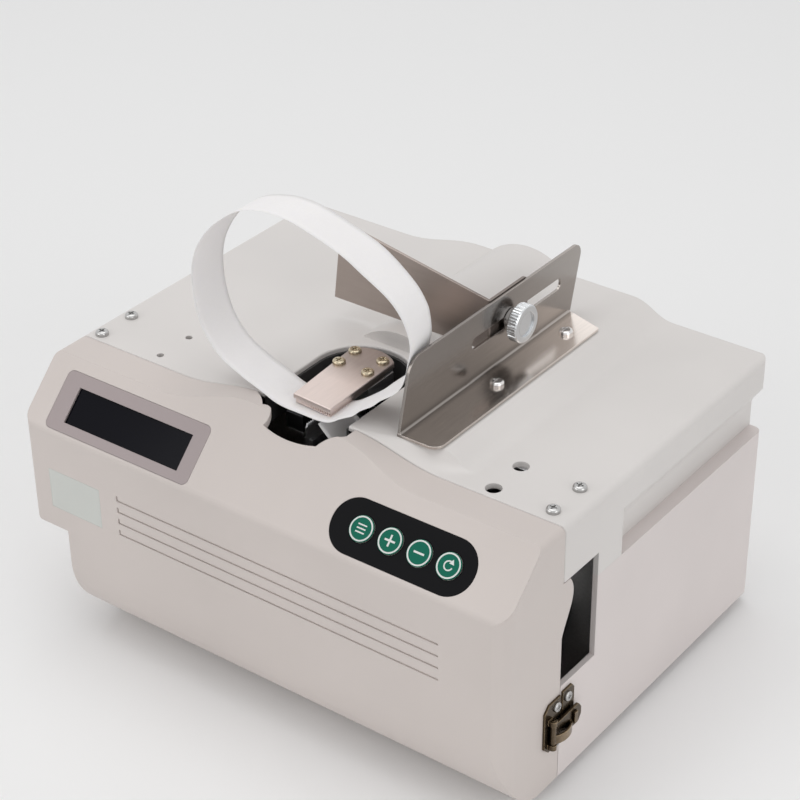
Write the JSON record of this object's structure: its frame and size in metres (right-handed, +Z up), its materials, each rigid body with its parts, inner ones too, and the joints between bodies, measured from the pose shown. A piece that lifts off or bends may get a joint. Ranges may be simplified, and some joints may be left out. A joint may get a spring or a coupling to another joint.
{
  "type": "banknote strapping machine",
  "caption": "Desktop banknote strapping machine with a paper tape loop over a raised deck, sheet-metal note guides, slanted control panel and side-hinged front door.",
  "frame": {"origin": "centre of the overall box, on the surface the feet stand on", "axes": "+X to the right along the front, +Y towards the back, +Z up"},
  "size_m": [0.2653, 0.2, 0.2246],
  "materials": {
    "shell": "fine moulded grain, warm light grey",
    "door_shell": "fine moulded grain, warm grey",
    "stainless": "brushed stainless sheet",
    "champagne": "pale satin plate",
    "steel": "bright machined steel",
    "zinc": "bright plated screws",
    "brass": "plain brass",
    "bronze": "antique bronze plating",
    "black": "fine grain black",
    "dark_collar": "fine grain dark grey",
    "frame_grey": "smooth satin grey",
    "lens": "clear glossy dark window",
    "key_green": "green cap with white ring",
    "rubber": "black rubber",
    "paper": "uncoated white paper tape",
    "label": "bare clear label",
    "aluminium": "dark anodised aluminium",
    "coil": "taped winding",
    "board": "green circuit board",
    "parts": "board components",
    "iron": "laminated core"
  },
  "bodies": {
    "housing": {"base_tray": "door_shell", "top_cover": "shell", "chassis_plate": "steel", "deck_screws": "zinc", "right_fence": "stainless", "fence_screws": "zinc", "anvil_plate": "champagne", "anvil_bracket": "steel", "anvil_screws": "brass", "opening_collar": "dark_collar", "rubber_feet": "rubber", "hinge_leaf_body": "steel", "hinge_pin": "steel", "latch_strike": "bronze", "small_screws_body": "zinc", "tape_loop": "paper", "tape_lead": "paper", "reel_spindle": "steel", "reel_keeper": "black", "roller_bushes": "brass", "feed_motor": "steel", "motor_bracket": "steel", "lifter_guide": "black", "lift_solenoids": "coil", "solenoid_bracket": "steel", "control_board": "board", "board_components": "parts", "transformer_core": "iron", "transformer_winding": "coil", "mains_inlet": "black", "power_switch": "black"},
    "door": {"front_door": "door_shell", "display_frame": "frame_grey", "display_window": "lens", "display_module": "board", "keypad_pad": "black", "keypad_board": "board", "blank_label": "label", "hinge_leaf_door": "steel", "latch_plate": "bronze", "small_screws_door": "zinc"},
    "fun_key": {"fun_button": "key_green"},
    "plus_key": {"plus_button": "key_green"},
    "minus_key": {"minus_button": "key_green"},
    "reset_key": {"reset_button": "key_green"},
    "hasp": {"latch_hasp": "bronze"},
    "back_guide": {"back_fence": "stainless"},
    "guide_knob": {"thumb_screw": "zinc"},
    "tape_reel": {"reel_spool": "black", "tape_roll": "paper"},
    "feed_roll": {"feed_roller": "rubber", "feed_shaft_gear": "steel"},
    "pinch_roll": {"pinch_roller": "rubber", "pinch_shaft_gear": "steel"},
    "motor_rotor": {"motor_pinion": "steel"},
    "press": {"heater_block": "aluminium", "press_carrier": "steel"},
    "cutter": {"cutter_blade": "steel", "cutter_holder": "steel"},
    "switch_rocker": {"power_rocker": "black"}
  },
  "joints": [
    {"name": "door_hinge", "type": "hinge", "parent": "housing", "child": "door", "pos_m": [-0.1302, -0.0602, 0.09], "axis": [0, 0, -1], "range_deg": [0, 100]},
    {"name": "fun_press", "type": "slide", "parent": "door", "child": "fun_key", "axis": [0, 0.7027, -0.7115], "range_m": [0, 0.0008], "stiffness_N_per_m": 300},
    {"name": "plus_press", "type": "slide", "parent": "door", "child": "plus_key", "axis": [0, 0.7027, -0.7115], "range_m": [0, 0.0008], "stiffness_N_per_m": 300},
    {"name": "minus_press", "type": "slide", "parent": "door", "child": "minus_key", "axis": [0, 0.7027, -0.7115], "range_m": [0, 0.0008], "stiffness_N_per_m": 300},
    {"name": "reset_press", "type": "slide", "parent": "door", "child": "reset_key", "axis": [0, 0.7027, -0.7115], "range_m": [0, 0.0008], "stiffness_N_per_m": 300},
    {"name": "hasp_swing", "type": "hinge", "parent": "door", "child": "hasp", "pos_m": [0.1297, -0.0682, 0.03525], "axis": [0, 0, -1], "range_deg": [0, 110]},
    {"name": "back_guide_slide", "type": "slide", "parent": "housing", "child": "back_guide", "axis": [0, 1, 0], "range_m": [-0.0253, 0.0363]},
    {"name": "guide_knob_turn", "type": "hinge", "parent": "back_guide", "child": "guide_knob", "pos_m": [0.046, 0.024, 0.1572], "axis": [1, 0, 0], "continuous": true},
    {"name": "reel_spin", "type": "hinge", "parent": "housing", "child": "tape_reel", "pos_m": [0.066, -0.0512, 0.064], "axis": [0, 1, 0], "continuous": true},
    {"name": "feed_roll_spin", "type": "hinge", "parent": "housing", "child": "feed_roll", "pos_m": [0.0105, -0.045, 0.116], "axis": [0, 1, 0], "continuous": true},
    {"name": "pinch_roll_spin", "type": "hinge", "parent": "housing", "child": "pinch_roll", "pos_m": [0.0225, -0.045, 0.116], "axis": [0, 1, 0], "continuous": true},
    {"name": "motor_spin", "type": "hinge", "parent": "housing", "child": "motor_rotor", "pos_m": [0.0105, -0.027, 0.1055], "axis": [0, 1, 0], "continuous": true},
    {"name": "press_lift", "type": "slide", "parent": "housing", "child": "press", "axis": [0, 0, 1], "range_m": [0, 0.0032]},
    {"name": "cutter_lift", "type": "slide", "parent": "housing", "child": "cutter", "axis": [0, 0, 1], "range_m": [0, 0.0032]},
    {"name": "power_rock", "type": "hinge", "parent": "housing", "child": "switch_rocker", "pos_m": [-0.046, 0.095, 0.034], "axis": [-1, 0, 0], "range_deg": [0, 14]}
  ],
  "couplings": [
    {"joint": "pinch_roll_spin", "follows": "feed_roll_spin", "ratio": -1},
    {"joint": "motor_spin", "follows": "feed_roll_spin", "ratio": -1.3333}
  ]
}
